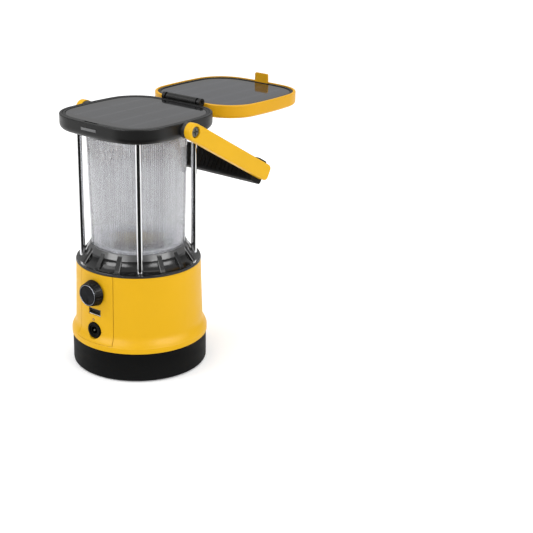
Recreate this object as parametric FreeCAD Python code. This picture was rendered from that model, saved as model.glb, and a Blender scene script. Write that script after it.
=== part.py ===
import FreeCAD, Part
import os, math
from FreeCAD import Vector as V

os.makedirs("parts", exist_ok=True)

# ---------------------------------------------------------------------------
# Solar camping lantern: round battery base, ribbed translucent tube inside
# four guard rods, rounded-square head with a solar panel, a second solar
# panel in a hinged lid that opens flat to the rear, and a fold-back carrying
# handle.  Millimetres.  +Z up, front (knob side) towards -Y, origin at the
# centre of the resting face.
# ---------------------------------------------------------------------------

# --- base -------------------------------------------------------------------
BASE_R = 60.0            # outer radius of the black base cup
BASE_Z0 = 0.5            # underside of the cup rim; the rubber pad stands proud
BASE_Z1 = 26.7           # top edge of the cup
PAD_R = 50.0             # rubber pad under the base
PAD_T = 2.0
BASE_WALL = 2.8
BASE_FLOOR_T = 2.6

# --- yellow housing ----------------------------------------------------------
SKIRT_R = 60.7           # short vertical skirt above the base cup
SKIRT_Z1 = 31.8
BODY_R_LOW = 56.8        # drafted wall, wide end
BODY_Z_LOW = 41.0
BODY_R_TOP = 55.2        # drafted wall, narrow end
BODY_Z_TOP = 94.8
HOUSING_WALL = 2.4
PANEL_HALF = 20.0        # half angle of the control panel, degrees
PANEL_GAP = 0.45         # half gap each side, degrees
PANEL_Z0 = 32.3          # its foot lies on the crease above the skirt

# --- controls on the front panel ---------------------------------------------
KNOB_Z = 77.1
KNOB_R_BACK = 11.7
KNOB_R_FACE = 9.9
KNOB_Y_BACK = -56.3
KNOB_Y_FACE = -64.0
USB_Z = 59.3
USB_Y = -55.6             # front edge of the socket's shell, behind the panel's face
LED_X, LED_Z = -1.0, 52.0
LED_R = 1.3
JACK_Z = 42.3
JACK_R = 7.3
JACK_Y = -57.8           # front of the jack's bezel
BOARD_Y = -41.4          # front face of the control board

# --- finned collar ------------------------------------------------------------
RIM_R = 55.05
RIM_Z = 97.25
COLLAR_TOP = 111.4
COLLAR_BORE = 42.05
RIB_W = 4.6
RIB_R_OUT = 52.0
RIB_Z_OUT = 99.6

# --- guard rods and light tube -----------------------------------------------
ROD_R = 2.5
ROD_PCR = 49.2           # radius of the circle of rods
TUBE_R_LOW = 41.3
TUBE_R_TOP = 43.4
TUBE_WALL = 2.0
TUBE_Z0 = 109.0
TUBE_Z1 = 212.3
FLANGE_R = 41.9          # small foot flange of the tube

# --- rounded-square head --------------------------------------------------------
HEAD_H = 56.8            # half width across the flats (at the bulge)
HEAD_BULGE_R = 302.0     # radius of the slightly bulged sides
HEAD_CORNER_R = 33.2
HEAD_Z0 = 213.3
HEAD_Z1 = 226.7
HEAD_FOOT_R = 5.2        # rounding of the underside
HEAD_BORDER = 2.4        # rim round the solar panel
FRAME_IN = 5.2           # inner edge of the frame between rim and cover
SLOT_HALF = 8.2
SLOT_Y0, SLOT_Y1 = -54.9, -51.3

# --- lid -----------------------------------------------------------------------
HINGE_Y = 59.4
HINGE_Z = 228.0
HINGE_R = 3.6
LID_CY = 2 * HINGE_Y     # centre of the open lid
LID_Z0 = 215.0
LID_Z1 = 226.8
TAB_HALF = 7.8
TAB_Y0, TAB_Y1 = 171.6, 173.4
TAB_Z1 = 234.8

# --- handle -----------------------------------------------------------------------
PIVOT_Z = 220.0
ARM_X0, ARM_X1 = 61.0, 67.8
ARM_HALF = 7.35
ARM_END_R = 4.2
ARM_EDGE_R = 1.7
ARM_L = 115.5
ARM_TILT = -29.5         # folded back, degrees below the horizontal
GRIP_L0 = 99.5
GRIP_HALF = 10.0         # above the arm's centre line
GRIP_LOW = 12.0          # below it
SHOULDER_R = 3.0
RUN = 0.05               # radial running clearance


# ---------------------------------------------------------------------------
# helpers
# ---------------------------------------------------------------------------
def cyl(r, h, p=(0, 0, 0), d=(0, 0, 1)):
    return Part.makeCylinder(r, h, V(*p), V(*d))


def tube(ro, ri, h, p=(0, 0, 0), d=(0, 0, 1)):
    return cyl(ro, h, p, d).cut(cyl(ri, h, p, d))


def box(x0, y0, z0, x1, y1, z1):
    return Part.makeBox(x1 - x0, y1 - y0, z1 - z0, V(x0, y0, z0))


def revolve(pts):
    """Solid of revolution about Z from (radius, z) corner points; an entry
    ('arc', mid, end) draws an arc through mid to end."""
    edges = []
    first = V(pts[0][0], 0, pts[0][1])
    cur = first
    for p in pts[1:]:
        if p[0] == 'arc':
            m = V(p[1][0], 0, p[1][1])
            e = V(p[2][0], 0, p[2][1])
            edges.append(Part.Arc(cur, m, e).toShape())
            cur = e
        else:
            e = V(p[0], 0, p[1])
            edges.append(Part.makeLine(cur, e))
            cur = e
    if cur.distanceToPoint(first) > 1e-7:
        edges.append(Part.makeLine(cur, first))
    face = Part.Face(Part.Wire(edges))
    return face.revolve(V(0, 0, 0), V(0, 0, 1), 360)


def fuse(shapes):
    s = shapes[0]
    if len(shapes) > 1:
        s = s.fuse(shapes[1:])
    return s.removeSplitter()


def head_outline(inset, cy=0.0, z=0.0):
    """Closed wire: four slightly bulged sides joined by tangent corners."""
    off = HEAD_BULGE_R - HEAD_H
    reach = HEAD_BULGE_R - HEAD_CORNER_R
    # corner centre (k, k) tangent to the side arcs
    k = (-2 * off + math.sqrt(4 * off * off - 8 * (off * off - reach * reach))) / 4
    a = math.atan2(k, k + off)
    rs = HEAD_BULGE_R - inset
    rc = HEAD_CORNER_R - inset

    def pt(cx, r, t, q):
        x, y = cx[0] + r * math.cos(t), cx[1] + r * math.sin(t)
        c, s = math.cos(q), math.sin(q)
        return V(c * x - s * y, cy + s * x + c * y, z)
    edges = []
    for i in range(4):
        q = i * math.pi / 2
        edges.append(Part.Arc(pt((-off, 0), rs, -a, q), pt((-off, 0), rs, 0, q), pt((-off, 0), rs, a, q)).toShape())
        edges.append(Part.Arc(pt((k, k), rc, a, q), pt((k, k), rc, math.pi / 4, q), pt((k, k), rc, math.pi / 2 - a, q)).toShape())
    return Part.Wire(edges)


def head_prism(inset, z0, z1, cy=0.0):
    return Part.Face(head_outline(inset, cy, z0)).extrude(V(0, 0, z1 - z0))


def edges_at_z(shape, z, tol=1e-4):
    out = []
    for e in shape.Edges:
        bb = e.BoundBox
        if abs(bb.ZMin - z) < tol and abs(bb.ZMax - z) < tol:
            out.append(e)
    return out


def wedge(half_deg, r, z0, z1):
    """Sector about the front (-Y) direction."""
    a0 = math.radians(-90 - half_deg)
    a1 = math.radians(-90 + half_deg)
    p0 = V(0, 0, z0)
    p1 = V(r * math.cos(a0), r * math.sin(a0), z0)
    p2 = V(r * math.cos(a1), r * math.sin(a1), z0)
    pm = V(0, -r, z0)
    w = Part.Wire([Part.makeLine(p0, p1), Part.Arc(p1, pm, p2).toShape(), Part.makeLine(p2, p0)])
    return Part.Face(w).extrude(V(0, 0, z1 - z0))


def polar(r, deg):
    """Point at radius r; 0 degrees is the front (-Y), positive towards +X."""
    a = math.radians(deg)
    return (r * math.sin(a), -r * math.cos(a))


def write(name, shape):
    solids = shape.Solids
    shp = solids[0] if len(solids) == 1 else Part.makeCompound(solids)
    for s in solids:
        if not s.isValid():
            print("INVALID", name)
    shp.exportStep("parts/%s.step" % name)
    print("%-24s solids %2d  volume %.1f" % (name, len(solids), sum(s.Volume for s in solids)))


def wall_r(z):
    """Outer radius of the drafted housing wall at height z."""
    return BODY_R_LOW + (BODY_R_TOP - BODY_R_LOW) * (z - BODY_Z_LOW) / (BODY_Z_TOP - BODY_Z_LOW)


ROD_ANGLES = (45, 135, 225, 315)
ROD_XY = [polar(ROD_PCR, a) for a in ROD_ANGLES]
POST_R = 47.0
POST_XY = [polar(POST_R, a) for a in ROD_ANGLES]

# ---------------------------------------------------------------------------
# base
# ---------------------------------------------------------------------------
pad = cyl(PAD_R, PAD_T)
pad = pad.makeFillet(0.5, edges_at_z(pad, 0.0))
write("foot_pad", pad)

floor_z = PAD_T + BASE_FLOOR_T
cup = revolve([(PAD_R + 0.3, BASE_Z0), (BASE_R - 2.2, BASE_Z0),
               ('arc', (BASE_R - 0.64, BASE_Z0 + 0.64), (BASE_R, BASE_Z0 + 2.2)),
               (BASE_R, BASE_Z1 - 0.5), (BASE_R - 0.5, BASE_Z1), (57.2, BASE_Z1), (57.2, 30.2), (55.6, 30.2),
               (55.6, 24.0), (BASE_R - BASE_WALL, 22.0), (BASE_R - BASE_WALL, floor_z + 1.5),
               (BASE_R - BASE_WALL - 1.5, floor_z), (0, floor_z), (0, PAD_T), (PAD_R + 0.3, PAD_T)])
for x, y in POST_XY:
    cup = cup.fuse(cyl(4.6, 8.0 - PAD_T, (x, y, PAD_T)))
for x, y in POST_XY:
    cup = cup.cut(cyl(1.7, 10, (x, y, 0))).cut(cyl(3.1, 2.1, (x, y, PAD_T)))
cup = cup.removeSplitter()
write("base_cup", cup)

screws = []
for x, y in POST_XY:
    s = cyl(2.8, 1.8, (x, y, 2.15)).fuse(cyl(1.48, 16.0, (x, y, 3.95))).removeSplitter()
    s = s.cut(box(x - 2.0, y - 0.4, 2.15, x + 2.0, y + 0.4, 2.9)).cut(box(x - 0.4, y - 2.0, 2.15, x + 0.4, y + 2.0, 2.9))
    screws.append(s)
write("base_screws", Part.makeCompound(screws))

# ---------------------------------------------------------------------------
# yellow housing and its control panel
# ---------------------------------------------------------------------------
hous = revolve([(57.35, BASE_Z1 + 0.05), (SKIRT_R - 0.4, BASE_Z1 + 0.05), (SKIRT_R, BASE_Z1 + 0.45), (SKIRT_R, SKIRT_Z1 - 0.3),
                (SKIRT_R - 0.25, SKIRT_Z1 + 0.2),
                ('arc', (59.75, 34.0), (58.7, 36.0)),
                ('arc', (57.35, 38.6), (BODY_R_LOW, BODY_Z_LOW)),
                (BODY_R_TOP, BODY_Z_TOP), (52.8, BODY_Z_TOP), (52.8, 86.0), (54.3, 42.0), (54.3, 30.6), (57.35, 30.6)])
window = wedge(PANEL_HALF + PANEL_GAP, 70, PANEL_Z0 - 0.2, 96).cut(cyl(48, 80, (0, 0, 30)))
hous = hous.cut(window)
lugs = []
for x, y in POST_XY:
    post = cyl(3.9, 44.0 - 8.1, (x, y, 8.1))
    rib = box(46.5, -1.2, 33.0, 54.6, 1.2, 44.0)
    rib.rotate(V(0, 0, 0), V(0, 0, 1), math.degrees(math.atan2(y, x)))
    lugs += [post, rib]
LUG_ANGLES = (90, 180, 270)
for a in LUG_ANGLES:
    lug = box(43.0, -5.0, 84.0, 53.6, 5.0, 87.0)
    lug.rotate(V(0, 0, 0), V(0, 0, 1), a - 90)
    lugs.append(lug)
hous = hous.fuse(lugs)
for x, y in POST_XY:
    hous = hous.cut(cyl(1.5, 24, (x, y, 0)))
for a in LUG_ANGLES:
    x, y = polar(46.4, a)
    hous = hous.cut(cyl(1.7, 10, (x, y, 80)))
hous = hous.removeSplitter()
write("main_housing", hous)

pt = HOUSING_WALL
shell = revolve([(54.6, SKIRT_Z1 + 0.2), (SKIRT_R - 0.25, SKIRT_Z1 + 0.2),
                 ('arc', (59.75, 34.0), (58.7, 36.0)),
                 ('arc', (57.35, 38.6), (BODY_R_LOW, BODY_Z_LOW)),
                 (wall_r(BODY_Z_TOP - 0.05), BODY_Z_TOP - 0.05), (wall_r(BODY_Z_TOP) - pt, BODY_Z_TOP - 0.05), (54.6, 42.0)])
shell = shell.common(wedge(PANEL_HALF, 70, PANEL_Z0, 120))
flange = revolve([(50.4, 36.0), (51.9, 36.0), (51.9, 88.0), (50.4, 88.0)]).common(wedge(PANEL_HALF + 3.0, 70, 0, 120))
link = revolve([(51.0, 36.0), (54.5, 36.0), (53.2, 88.0), (51.0, 88.0)]).common(wedge(PANEL_HALF - 1.0, 70, 0, 120))
cpanel = shell.fuse([flange, link])
cpanel = cpanel.cut(cyl(3.6, 20, (0, -65, KNOB_Z), (0, 1, 0)))
cpanel = cpanel.cut(cyl(9.2, 10, (0, -53.0, KNOB_Z), (0, 1, 0)))
cpanel = cpanel.cut(box(-7.2, -65, USB_Z - 3.1, 7.2, -45, USB_Z + 3.1))
cpanel = cpanel.cut(cyl(LED_R + 0.05, 20, (LED_X, -65, LED_Z), (0, 1, 0)))
cpanel = cpanel.cut(cyl(5.6, 20, (0, -65, JACK_Z), (0, 1, 0)))
cpanel = cpanel.cut(cyl(JACK_R + 0.35, 10, (0, JACK_Y + 1.9 - 10, JACK_Z), (0, 1, 0)))
cpanel = cpanel.removeSplitter()
write("control_panel", cpanel)

# ---------------------------------------------------------------------------
# controls, ports and electronics
# ---------------------------------------------------------------------------
# control knob: tapered body with shallow flutes, hollow behind
kn = KNOB_Y_BACK - KNOB_Y_FACE
knob = Part.makeCone(KNOB_R_BACK, KNOB_R_FACE, kn, V(0, KNOB_Y_BACK, KNOB_Z), V(0, -1, 0))
front_edge = [e for e in knob.Edges if abs(e.BoundBox.YMin - KNOB_Y_FACE) < 1e-4 and abs(e.BoundBox.YMax - KNOB_Y_FACE) < 1e-4]
knob = knob.makeFillet(0.7, front_edge)
flutes = []
for i in range(24):
    a = math.radians(i * 15 + 7.5)
    cx, cz = math.cos(a), math.sin(a)
    ra, rb = KNOB_R_BACK + 0.35, KNOB_R_FACE + 0.55
    p = V(ra * cx, KNOB_Y_BACK - 0.8, KNOB_Z + ra * cz)
    q = V(rb * cx, KNOB_Y_FACE + 1.2, KNOB_Z + rb * cz)
    d = q.sub(p)
    flutes.append(Part.makeCylinder(0.62, d.Length, p, d))
knob = knob.cut(flutes)
knob = knob.cut(cyl(7.4, 4.0, (0, KNOB_Y_BACK, KNOB_Z), (0, -1, 0)))
knob = knob.cut(cyl(3.02, 6.3, (0, KNOB_Y_BACK, KNOB_Z), (0, -1, 0)))
knob = knob.cut(cyl(8.7, 1.5, (0, KNOB_Y_FACE + 0.7, KNOB_Z), (0, -1, 0)))
knob = knob.removeSplitter()
write("control_knob", knob)

cap = cyl(8.65, 0.85, (0, KNOB_Y_FACE + 0.7, KNOB_Z), (0, -1, 0))
cap = cap.makeChamfer(0.3, [e for e in cap.Edges if abs(e.BoundBox.YMax - (KNOB_Y_FACE - 0.15)) < 1e-3])
cap = cap.cut(box(-0.4, KNOB_Y_FACE - 0.2, KNOB_Z - 7.6, 0.4, KNOB_Y_FACE + 0.15, KNOB_Z - 3.4))
write("knob_cap", cap)

write("pot_shaft", cyl(3.0, 18.6, (0, -62.5, KNOB_Z), (0, 1, 0)))
pot = cyl(8.4, 10.8, (0, -52.6, KNOB_Z), (0, 1, 0)).fuse(cyl(3.5, 8.0, (0, -60.0, KNOB_Z), (0, 1, 0)))
pot = pot.cut(cyl(SHOULDER_R + RUN, 16.6, (0, -60.1, KNOB_Z), (0, 1, 0))).removeSplitter()
write("pot_body", pot)
hexa = []
for i in range(6):
    a = math.radians(60 * i)
    hexa.append(V(5.7 * math.cos(a), -58.05, KNOB_Z + 5.7 * math.sin(a)))
hexa.append(hexa[0])
nut = Part.Face(Part.makePolygon(hexa)).extrude(V(0, 2.05, 0)).cut(cyl(3.52, 4, (0, -59, KNOB_Z), (0, 1, 0)))
write("pot_nut", nut)

usb = box(-6.55, USB_Y, USB_Z - 2.85, 6.55, BOARD_Y - 0.0, USB_Z + 2.85)
usb = usb.cut(box(-6.1, -57, USB_Z - 2.4, 6.1, BOARD_Y - 1.0, USB_Z + 2.4))
write("usb_shell", usb)
write("usb_tongue", box(-5.6, USB_Y + 0.8, USB_Z + 0.0, 5.6, BOARD_Y - 1.0, USB_Z + 1.9))

led = cyl(LED_R, 15.2, (LED_X, -56.6, LED_Z), (0, 1, 0))
led = led.makeFillet(0.6, [e for e in led.Edges if abs(e.BoundBox.YMax + 56.6) < 1e-3])
write("charge_led", led)

jack = cyl(JACK_R, 1.9, (0, JACK_Y, JACK_Z), (0, 1, 0))
jack = jack.makeFillet(0.6, [e for e in jack.Edges if abs(e.BoundBox.YMax - JACK_Y) < 1e-3])
jack = jack.fuse(cyl(5.5, BOARD_Y - JACK_Y - 1.9, (0, JACK_Y + 1.9, JACK_Z), (0, 1, 0)))
jack = jack.cut(cyl(5.2, 1.2, (0, JACK_Y - 0.2, JACK_Z), (0, 1, 0)))
jack = jack.cut(cyl(3.4, -47.2 - JACK_Y, (0, JACK_Y, JACK_Z), (0, 1, 0))).removeSplitter()
write("dc_jack_body", jack)
pin = cyl(1.05, 9.8, (0, -57.0, JACK_Z), (0, 1, 0))
pin = pin.makeFillet(0.5, [e for e in pin.Edges if abs(e.BoundBox.YMax + 57.0) < 1e-3])
write("dc_jack_pin", pin)

board = box(-20, BOARD_Y, 36, 20, BOARD_Y + 1.6, 90)
for x in (-17, 17):
    for z in (39.5, 86.5):
        board = board.cut(cyl(1.6, 4, (x, BOARD_Y - 1, z), (0, 1, 0)))
write("control_board", board)
by = BOARD_Y + 1.6
comp = [cyl(5.0, 6.0, (-9, by, 46), (0, 1, 0)), cyl(3.2, 10.0, (9, by, 44), (0, 1, 0)), cyl(3.2, 10.0, (9, by, 53), (0, 1, 0)),
        box(-13, by, 58, -5, by + 1.6, 66), box(2, by, 62, 7, by + 1.4, 66), box(-12, by, 74, 12, by + 7.0, 82),
        box(11, by, 62, 15, by + 2.2, 70)]
write("board_components", Part.makeCompound(comp))

# battery pack
tray = box(-21.5, -8.5, floor_z, 21.5, 33.5, 22.0)
CELL_XY = [(-9.9, 2.6), (9.9, 2.6), (-9.9, 22.4), (9.9, 22.4)]
for x, y in CELL_XY:
    tray = tray.cut(cyl(9.4, 20, (x, y, floor_z + 2.4)))
write("battery_tray", tray.removeSplitter())
cells = []
for x, y in CELL_XY:
    c = cyl(9.2, 65.0, (x, y, floor_z + 2.4)).fuse(cyl(3.0, 0.9, (x, y, floor_z + 67.4))).removeSplitter()
    cells.append(c)
write("battery_cells", Part.makeCompound(cells))
zt = floor_z + 68.3
write("cell_straps", Part.makeCompound([box(-13.5, y - 3, zt, 13.5, y + 3, zt + 0.3) for y in (2.6, 22.4)]))
clamp = box(-21.5, -8.5, zt - 12.0, 21.5, 33.5, zt - 4.0)
for x, y in CELL_XY:
    clamp = clamp.cut(cyl(9.4, 20, (x, y, zt - 16)))
write("battery_clamp", clamp.removeSplitter())

# ---------------------------------------------------------------------------
# trim ring and finned collar
# ---------------------------------------------------------------------------
ring = revolve([(52.35, 94.85), (54.95, 94.85), (55.35, 95.15), (55.35, 96.0), (55.1, 96.3), (52.35, 96.3)])
write("trim_ring", ring)

collar = revolve([(52.2, 96.35), (RIM_R, 96.35), (RIM_R, RIM_Z - 0.35), (RIM_R - 0.35, RIM_Z), (52.6, RIM_Z),
                  ('arc', (47.8, 100.6), (45.2, 106.2)), (44.9, 107.0), (42.55, COLLAR_TOP - 0.3), (42.3, COLLAR_TOP),
                  (COLLAR_BORE, COLLAR_TOP), (COLLAR_BORE, 108.0), (38.0, 108.0), (38.0, 106.0), (0, 106.0), (0, 103.6),
                  (43.6, 103.6), (45.0, 98.0), (47.4, 95.0), (50.0, 94.0), (50.0, 88.2), (52.2, 88.2)])
ribs = []
for i in range(16):
    a = i * 22.5
    if i % 4 == 2:
        continue
    prof = [V(RIB_R_OUT, 0, RIM_Z - 0.6), V(RIB_R_OUT, 0, RIB_Z_OUT - 1.6), V(RIB_R_OUT - 1.1, 0, RIB_Z_OUT), V(43.0, 0, 110.4),
            V(42.6, 0, 109.6), V(42.6, 0, 106.5), V(44.9, 0, 104.0), V(46.5, 0, 98.5), V(48.5, 0, RIM_Z - 0.6)]
    prof.append(prof[0])
    r = Part.Face(Part.makePolygon(prof)).extrude(V(0, RIB_W, 0))
    long_edges = [e for e in r.Edges if e.BoundBox.YLength < 1e-4 and abs(e.BoundBox.ZMin - RIB_Z_OUT) < 1e-3 and abs(e.BoundBox.ZMax - 110.4) < 1e-3]
    r = r.makeChamfer(0.4, long_edges)
    r.translate(V(0, -RIB_W / 2, 0))
    r.rotate(V(0, 0, 0), V(0, 0, 1), a - 90)
    ribs.append(r)
collar = collar.fuse(ribs)
bosses = [cyl(3.1, 9.0, (x, y, 89.2)) for x, y in ROD_XY]
for a in LUG_ANGLES:
    x, y = polar(46.4, a)
    bosses.append(cyl(3.4, 10.4, (x, y, 87.05)))
collar = collar.fuse(bosses)
for x, y in ROD_XY:
    collar = collar.cut(cyl(ROD_R + 0.02, 26, (x, y, 88))).cut(cyl(2.8, 2.2, (x, y, 87)))
for a in LUG_ANGLES:
    x, y = polar(46.4, a)
    collar = collar.cut(cyl(1.5, 11.0, (x, y, 86)))
collar = collar.removeSplitter()
write("fin_collar", collar)

cs = []
for a in LUG_ANGLES:
    x, y = polar(46.4, a)
    cs.append(cyl(2.9, 1.8, (x, y, 82.15)).fuse(cyl(1.48, 12.5, (x, y, 83.95))).removeSplitter())
write("collar_screws", Part.makeCompound(cs))

# guard rods with a blind threaded hole in each end, and the screws that hold them
rods, rscrews = [], []
for x, y in ROD_XY:
    r = cyl(ROD_R, 217.6 - 90.5, (x, y, 90.5))
    r = r.cut(cyl(1.52, 9.0, (x, y, 90.5))).cut(cyl(1.52, 9.0, (x, y, 208.6)))
    rods.append(r)
    rscrews.append(cyl(2.7, 2.2, (x, y, 86.95)).fuse(cyl(1.5, 10.0, (x, y, 89.15))).removeSplitter())
    rscrews.append(cyl(2.7, 2.0, (x, y, 219.7)).fuse(cyl(1.5, 9.7, (x, y, 210.1))).removeSplitter())
write("guard_rods", Part.makeCompound(rods))
write("rod_screws", Part.makeCompound(rscrews))

# ---------------------------------------------------------------------------
# light tube and lamp
# ---------------------------------------------------------------------------
def tube_r(z):
    return TUBE_R_LOW + (TUBE_R_TOP - TUBE_R_LOW) * (z - TUBE_Z0) / (TUBE_Z1 - TUBE_Z0)

tubeb = revolve([(tube_r(TUBE_Z0) - TUBE_WALL, TUBE_Z0), (FLANGE_R, TUBE_Z0), (FLANGE_R, 111.9), (FLANGE_R - 0.2, 112.1), (tube_r(112.1), 112.1),
                 (TUBE_R_TOP, TUBE_Z1), (TUBE_R_TOP - TUBE_WALL, TUBE_Z1)])
write("light_tube", tubeb)
write("tube_gasket_lower", tube(FLANGE_R, 38.6, 1.0, (0, 0, 108.0)))
write("tube_gasket_upper", tube(TUBE_R_TOP, TUBE_R_TOP - TUBE_WALL, 1.0, (0, 0, TUBE_Z1)))

write("base_reflector", tube(37.9, 22.8, 1.2, (0, 0, 106.0)))

lcup = revolve([(17.6, 106.0), (22.6, 106.0), (22.6, 117.4), (22.2, 117.8), (21.4, 117.8), (21.0, 117.4), (20.6, 108.0), (17.6, 108.0)])
write("lamp_cup", lcup)
hs = cyl(15.8, 1.6, (0, 0, 106.0))
for i in range(3):
    hs = hs.fuse(cyl(15.8 - 0.9 * i, 0.9, (0, 0, 107.6 + 1.5 * i)))
hs = hs.fuse(cyl(11.5, 5.4, (0, 0, 106.0))).removeSplitter()
write("lamp_heatsink", hs)
write("lamp_board", cyl(15.6, 1.4, (0, 0, 111.5)))
chips = [cyl(2.6, 1.3, (0, 0, 112.9))]
for n, r in ((6, 6.6), (12, 12.2)):
    for i in range(n):
        a = math.radians(360.0 * i / n)
        b = box(-1.75, -1.4, 112.9, 1.75, 1.4, 114.1)
        b.rotate(V(0, 0, 0), V(0, 0, 1), math.degrees(a))
        b.translate(V(r * math.cos(a), r * math.sin(a), 0))
        chips.append(b)
write("lamp_chips", Part.makeCompound(chips))

# ---------------------------------------------------------------------------
# head
# ---------------------------------------------------------------------------
head = head_prism(0, HEAD_Z0, HEAD_Z1)
head = head.makeFillet(HEAD_FOOT_R, edges_at_z(head, HEAD_Z0))
head = head.makeFillet(0.9, edges_at_z(head, HEAD_Z1))
panel_floor = 223.4
head = head.cut(head_prism(HEAD_BORDER, panel_floor, HEAD_Z1 + 1))
pocket = head_prism(7.0, HEAD_Z0 + 2.8, panel_floor + 0.5)
keep = [cyl(5.2, 10, (x, y, 214)) for x, y in ROD_XY]
keep += [box(44.0, -9, 214, 60, 9, 230), box(-60, -9, 214, -44.0, 9, 230), box(-18, 46.5, 214, 18, 60, 230)]
for k_ in keep:
    pocket = pocket.cut(k_)
head = head.cut(pocket)
spigot = tube(TUBE_R_TOP - TUBE_WALL - 0.15, TUBE_R_TOP - TUBE_WALL - 2.2, 4.4, (0, 0, HEAD_Z0 - 4.4))
head = head.fuse(spigot)
for x, y in ROD_XY:
    head = head.cut(cyl(ROD_R + 0.02, 217.7 - HEAD_Z0, (x, y, HEAD_Z0 - 0.05))).cut(cyl(1.6, 10, (x, y, 212))).cut(cyl(2.9, 10, (x, y, 219.65)))
head = head.cut(box(-SLOT_HALF, SLOT_Y0, 219.0, SLOT_HALF, SLOT_Y1, 230))
hn = cyl(HINGE_R + 0.4, 45.0, (-22.5, HINGE_Y, HINGE_Z), (1, 0, 0))
head = head.cut(hn)
for s in (-1, 1):
    x0 = 56.3 if s > 0 else -66.3
    head = head.cut(cyl(7.2, 10, (x0, 0, PIVOT_Z), (1, 0, 0)))
    head = head.cut(cyl(2.02, 10.5, (46.0 if s > 0 else -56.5, 0, PIVOT_Z), (1, 0, 0)))
# nameplate recess on the front wall, hinge screw holes in the rear wall
head = head.cut(box(-8.7, -58, 219.7, 8.7, -56.35, 222.2))
for x in (-13.6, 13.6):
    head = head.cut(cyl(1.28, 6.0, (x, 51.0, 219.4), (0, 1, 0)))
head = head.removeSplitter()
write("top_plate", head)

plq = box(-8.6, -57.1, 219.8, 8.6, -56.35, 222.1)
plq = plq.makeChamfer(0.25, [e for e in plq.Edges if e.BoundBox.YMax < -57.05])
write("nameplate_blank", plq)
write("top_reflector", cyl(38.9, 1.4, (0, 0, HEAD_Z0 - 1.4)))


def solar(cy, z_floor, frame_h, cut):
    """Backing board, four cells, a glossy cover sheet and the frame round it, with room for the catch."""
    back = head_prism(HEAD_BORDER + 0.4, z_floor, z_floor + 1.2, cy)
    cover = head_prism(FRAME_IN + 0.1, z_floor + 1.6, z_floor + 2.8, cy)
    cover = cover.makeChamfer(0.25, edges_at_z(cover, z_floor + 2.8))
    frame_ = head_prism(HEAD_BORDER + 0.12, z_floor + 1.2, z_floor + frame_h, cy)
    frame_ = frame_.makeChamfer(0.3, edges_at_z(frame_, z_floor + frame_h))
    frame_ = frame_.cut(head_prism(FRAME_IN, z_floor, z_floor + 5, cy))
    back, cover, frame_ = back.cut(cut), cover.cut(cut), frame_.cut(cut)
    cells_ = []
    for sx in (-1, 1):
        for sy in (-1, 1):
            cells_.append(box(sx * 21.2 - 20.4, cy + sy * 21.2 - 20.4, z_floor + 1.2, sx * 21.2 + 20.4, cy + sy * 21.2 + 20.4, z_floor + 1.6))
    return back, Part.makeCompound(cells_), cover, frame_


b_, c_, g_, f_ = solar(0.0, panel_floor, 3.1, box(-SLOT_HALF - 0.1, SLOT_Y0 - 3, 219, SLOT_HALF + 0.1, SLOT_Y1 + 0.05, 230))
write("head_panel_backing", b_)
write("head_solar_cells", c_)
write("head_panel_cover", g_)
write("head_panel_frame", f_)

# ---------------------------------------------------------------------------
# hinge
# ---------------------------------------------------------------------------
KN_IN, KN_OUT = 8.0, 17.2
CH0, CH1 = 19.3, 22.3


def knuckle(x0, x1):
    return cyl(HINGE_R, x1 - x0, (x0, HINGE_Y, HINGE_Z), (1, 0, 0))


leaf_p = [box(-CH1, 57.0, 216.6, CH1, 60.6, 222.5), knuckle(-KN_IN, KN_IN), box(-KN_IN, 57.0, 220, KN_IN, 60.6, HINGE_Z - 1)]
for s in (-1, 1):
    x0, x1 = (CH0, CH1) if s > 0 else (-CH1, -CH0)
    leaf_p += [knuckle(x0, x1), box(x0, 57.0, 220, x1, 60.6, HINGE_Z - 1)]
leaf_p = fuse(leaf_p)
leaf_p = leaf_p.cut(cyl(1.52, 60, (-30, HINGE_Y, HINGE_Z), (1, 0, 0)))
for x in (-13.6, 13.6):
    leaf_p = leaf_p.cut(cyl(1.3, 8, (x, 56, 219.4), (0, 1, 0))).cut(cyl(2.5, 3, (x, 59.0, 219.4), (0, 1, 0)))
write("hinge_leaf_head", leaf_p.removeSplitter())

leaf_l = [box(-KN_OUT, 61.0, 217.6, KN_OUT, 63.2, 225.0)]
for s in (-1, 1):
    x0, x1 = (KN_IN + 0.2, KN_OUT) if s > 0 else (-KN_OUT, -KN_IN - 0.2)
    leaf_l += [knuckle(x0, x1), box(x0, 58.6, 222.8, x1, 63.2, HINGE_Z - 1.2)]
leaf_l = fuse(leaf_l)
leaf_l = leaf_l.cut(cyl(1.5 + RUN, 60, (-30, HINGE_Y, HINGE_Z), (1, 0, 0)))
leaf_l = leaf_l.cut(cyl(HINGE_R + 0.25, 2 * KN_IN + 0.4, (-KN_IN - 0.2, HINGE_Y, HINGE_Z), (1, 0, 0)))
for x in (-12.5, 12.5):
    leaf_l = leaf_l.cut(cyl(1.3, 8, (x, 60, 220.2), (0, 1, 0))).cut(cyl(2.2, 1.3, (x, 60.9, 220.2), (0, 1, 0)))
write("hinge_leaf_lid", leaf_l.removeSplitter())

pinh = cyl(1.5, 36.6, (-18.3, HINGE_Y, HINGE_Z), (1, 0, 0))
pinh = pinh.fuse([cyl(2.1, 0.9, (17.45, HINGE_Y, HINGE_Z), (1, 0, 0)), cyl(2.1, 0.9, (-18.35, HINGE_Y, HINGE_Z), (1, 0, 0))])
write("hinge_pin", pinh.removeSplitter())

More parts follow.
